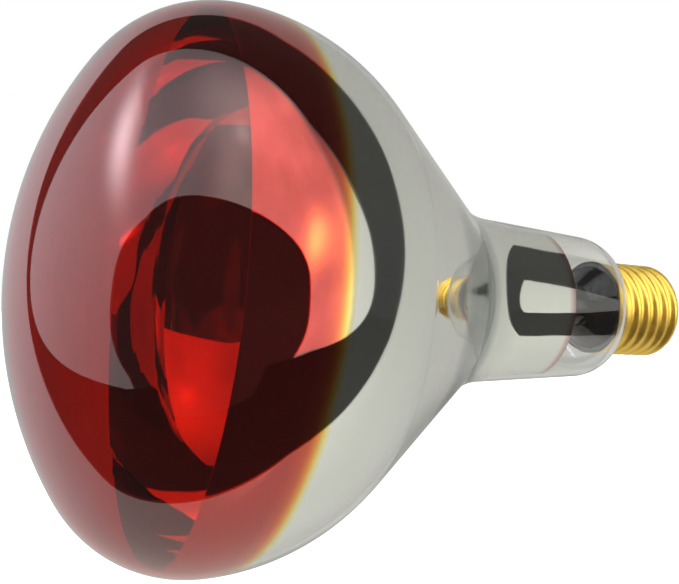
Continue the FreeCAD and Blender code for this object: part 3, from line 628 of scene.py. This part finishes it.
# ---------------------------------------------------------------------------------------------
# Stem. A flared tube of grey lead glass is melted into the neck's end; its top is pinched flat
# round the seal wires, and the thin exhaust tube runs down it to a drawn tip.
# ---------------------------------------------------------------------------------------------
stem_glass, tree, shader, place = new_finish("smoky_stem_glass")
smoke = grain(tree, place, 90, 3)
tree.links.new(ramp(tree, smoke, ((0.3, (0.10, 0.10, 0.095)), (0.7, (0.21, 0.205, 0.19)))),
               shader.inputs["Base Color"])
shader.inputs["Roughness"].default_value = 0.03
shader.inputs["IOR"].default_value = 1.56
shader.inputs["Transmission Weight"].default_value = 1.0
dent(tree, shader, grain(tree, place, 160, 2), 0.1 * MM)
for node in ("stem_flare", "stem_press", "exhaust_tube", "support_button"):
    refinish(node, stem_glass)


# ---------------------------------------------------------------------------------------------
# Wires. Nickel leads run from the press to the filament, dumet wires seal through the press,
# copper wires go on to the cap, and a nickel rod carries the glass button.
# ---------------------------------------------------------------------------------------------
nickel, tree, shader, place = new_finish("drawn_nickel")
drawn = grain(tree, place, 1400, 3, (1, 0.1, 1))
tree.links.new(ramp(tree, drawn, ((0.3, (0.40, 0.38, 0.35)), (0.7, (0.66, 0.63, 0.58)))),
               shader.inputs["Base Color"])
tree.links.new(spread(tree, drawn, 0.3, 0.7, 0.2, 0.4), shader.inputs["Roughness"])
shader.inputs["Metallic"].default_value = 1.0
for node in ("inner_lead_left", "inner_lead_right", "support_rod"):
    refinish(node, nickel)

copper, tree, shader, place = new_finish("copper_wire")
warm = grain(tree, place, 1100, 3, (1, 0.1, 1))
tree.links.new(ramp(tree, warm, ((0.3, (0.55, 0.24, 0.12)), (0.7, (0.88, 0.46, 0.30)))),
               shader.inputs["Base Color"])
tree.links.new(spread(tree, warm, 0.3, 0.7, 0.2, 0.45), shader.inputs["Roughness"])
shader.inputs["Metallic"].default_value = 1.0
for node in ("seal_wire_left", "seal_wire_right", "outer_lead_centre", "outer_lead_side"):
    refinish(node, copper)


# ---------------------------------------------------------------------------------------------
# Filament. Tungsten wire is wound into a long spring and hung in a ring round the axis; its
# ends are clamped in the leads, and four molybdenum hooks from the glass button hold it up.
# ---------------------------------------------------------------------------------------------
coil_low, coil_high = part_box("filament_coil")
coil_r = (coil_high.y - coil_low.y) / 2
ring_y = (coil_high.y + coil_low.y) / 2
ring_r = coil_high.x - coil_r
lead_half, wire_r, turn_pitch = 4.0 * MM, 0.09 * MM, 0.42 * MM
half_span = math.pi - math.asin(lead_half / ring_r)
turns = int(2 * half_span * ring_r / turn_pitch)
points_a_turn, wire_sides = 12, 6
spine = []
for k in range(turns * points_a_turn + 1):
    share = k / (turns * points_a_turn)
    swing = -half_span + 2 * half_span * share
    wind = 2 * math.pi * turns * share
    out = ring_r + (coil_r - wire_r) * math.cos(wind)
    spine.append(Vector((out * math.sin(swing), ring_y + (coil_r - wire_r) * math.sin(wind),
                         out * math.cos(swing))))


def wire_tube(name, path, radius, sides):
    """A round wire swept along a path, closed at both ends."""
    points, faces = [], []
    side = None
    for k, point in enumerate(path):
        ahead = (path[min(k + 1, len(path) - 1)] - path[max(k - 1, 0)]).normalized()
        if side is None:
            side = ahead.orthogonal()
        side = (side - ahead * side.dot(ahead)).normalized()
        other = ahead.cross(side)
        points.extend(point + radius * (side * math.cos(2 * math.pi * m / sides)
                                        + other * math.sin(2 * math.pi * m / sides)) for m in range(sides))
    for k in range(len(path) - 1):
        for m in range(sides):
            n = (m + 1) % sides
            faces.append((k * sides + m, k * sides + n, (k + 1) * sides + n, (k + 1) * sides + m))
    faces.append(tuple(reversed(range(sides))))
    faces.append(tuple((len(path) - 1) * sides + m for m in range(sides)))
    return mesh_object(name, points, faces, 60)


wound_filament = wire_tube("wound_filament", spine, wire_r, wire_sides)
tungsten, tree, shader, place = new_finish("tungsten_wire")
scale_marks = grain(tree, place, 2500, 4)
tree.links.new(ramp(tree, scale_marks, ((0.3, (0.20, 0.20, 0.21)), (0.7, (0.42, 0.41, 0.41)))),
               shader.inputs["Base Color"])
tree.links.new(spread(tree, scale_marks, 0.3, 0.7, 0.25, 0.5), shader.inputs["Roughness"])
shader.inputs["Metallic"].default_value = 1.0
wound_filament.data.materials.append(tungsten)
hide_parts("filament_coil")
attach(wound_filament, "lamp")

molybdenum, tree, shader, place = new_finish("molybdenum_wire")
dull = grain(tree, place, 1800, 3)
tree.links.new(ramp(tree, dull, ((0.3, (0.30, 0.29, 0.28)), (0.7, (0.52, 0.50, 0.47)))),
               shader.inputs["Base Color"])
tree.links.new(spread(tree, dull, 0.3, 0.7, 0.25, 0.5), shader.inputs["Roughness"])
shader.inputs["Metallic"].default_value = 1.0
for number in range(1, 5):
    refinish(f"filament_hook_{number}", molybdenum)
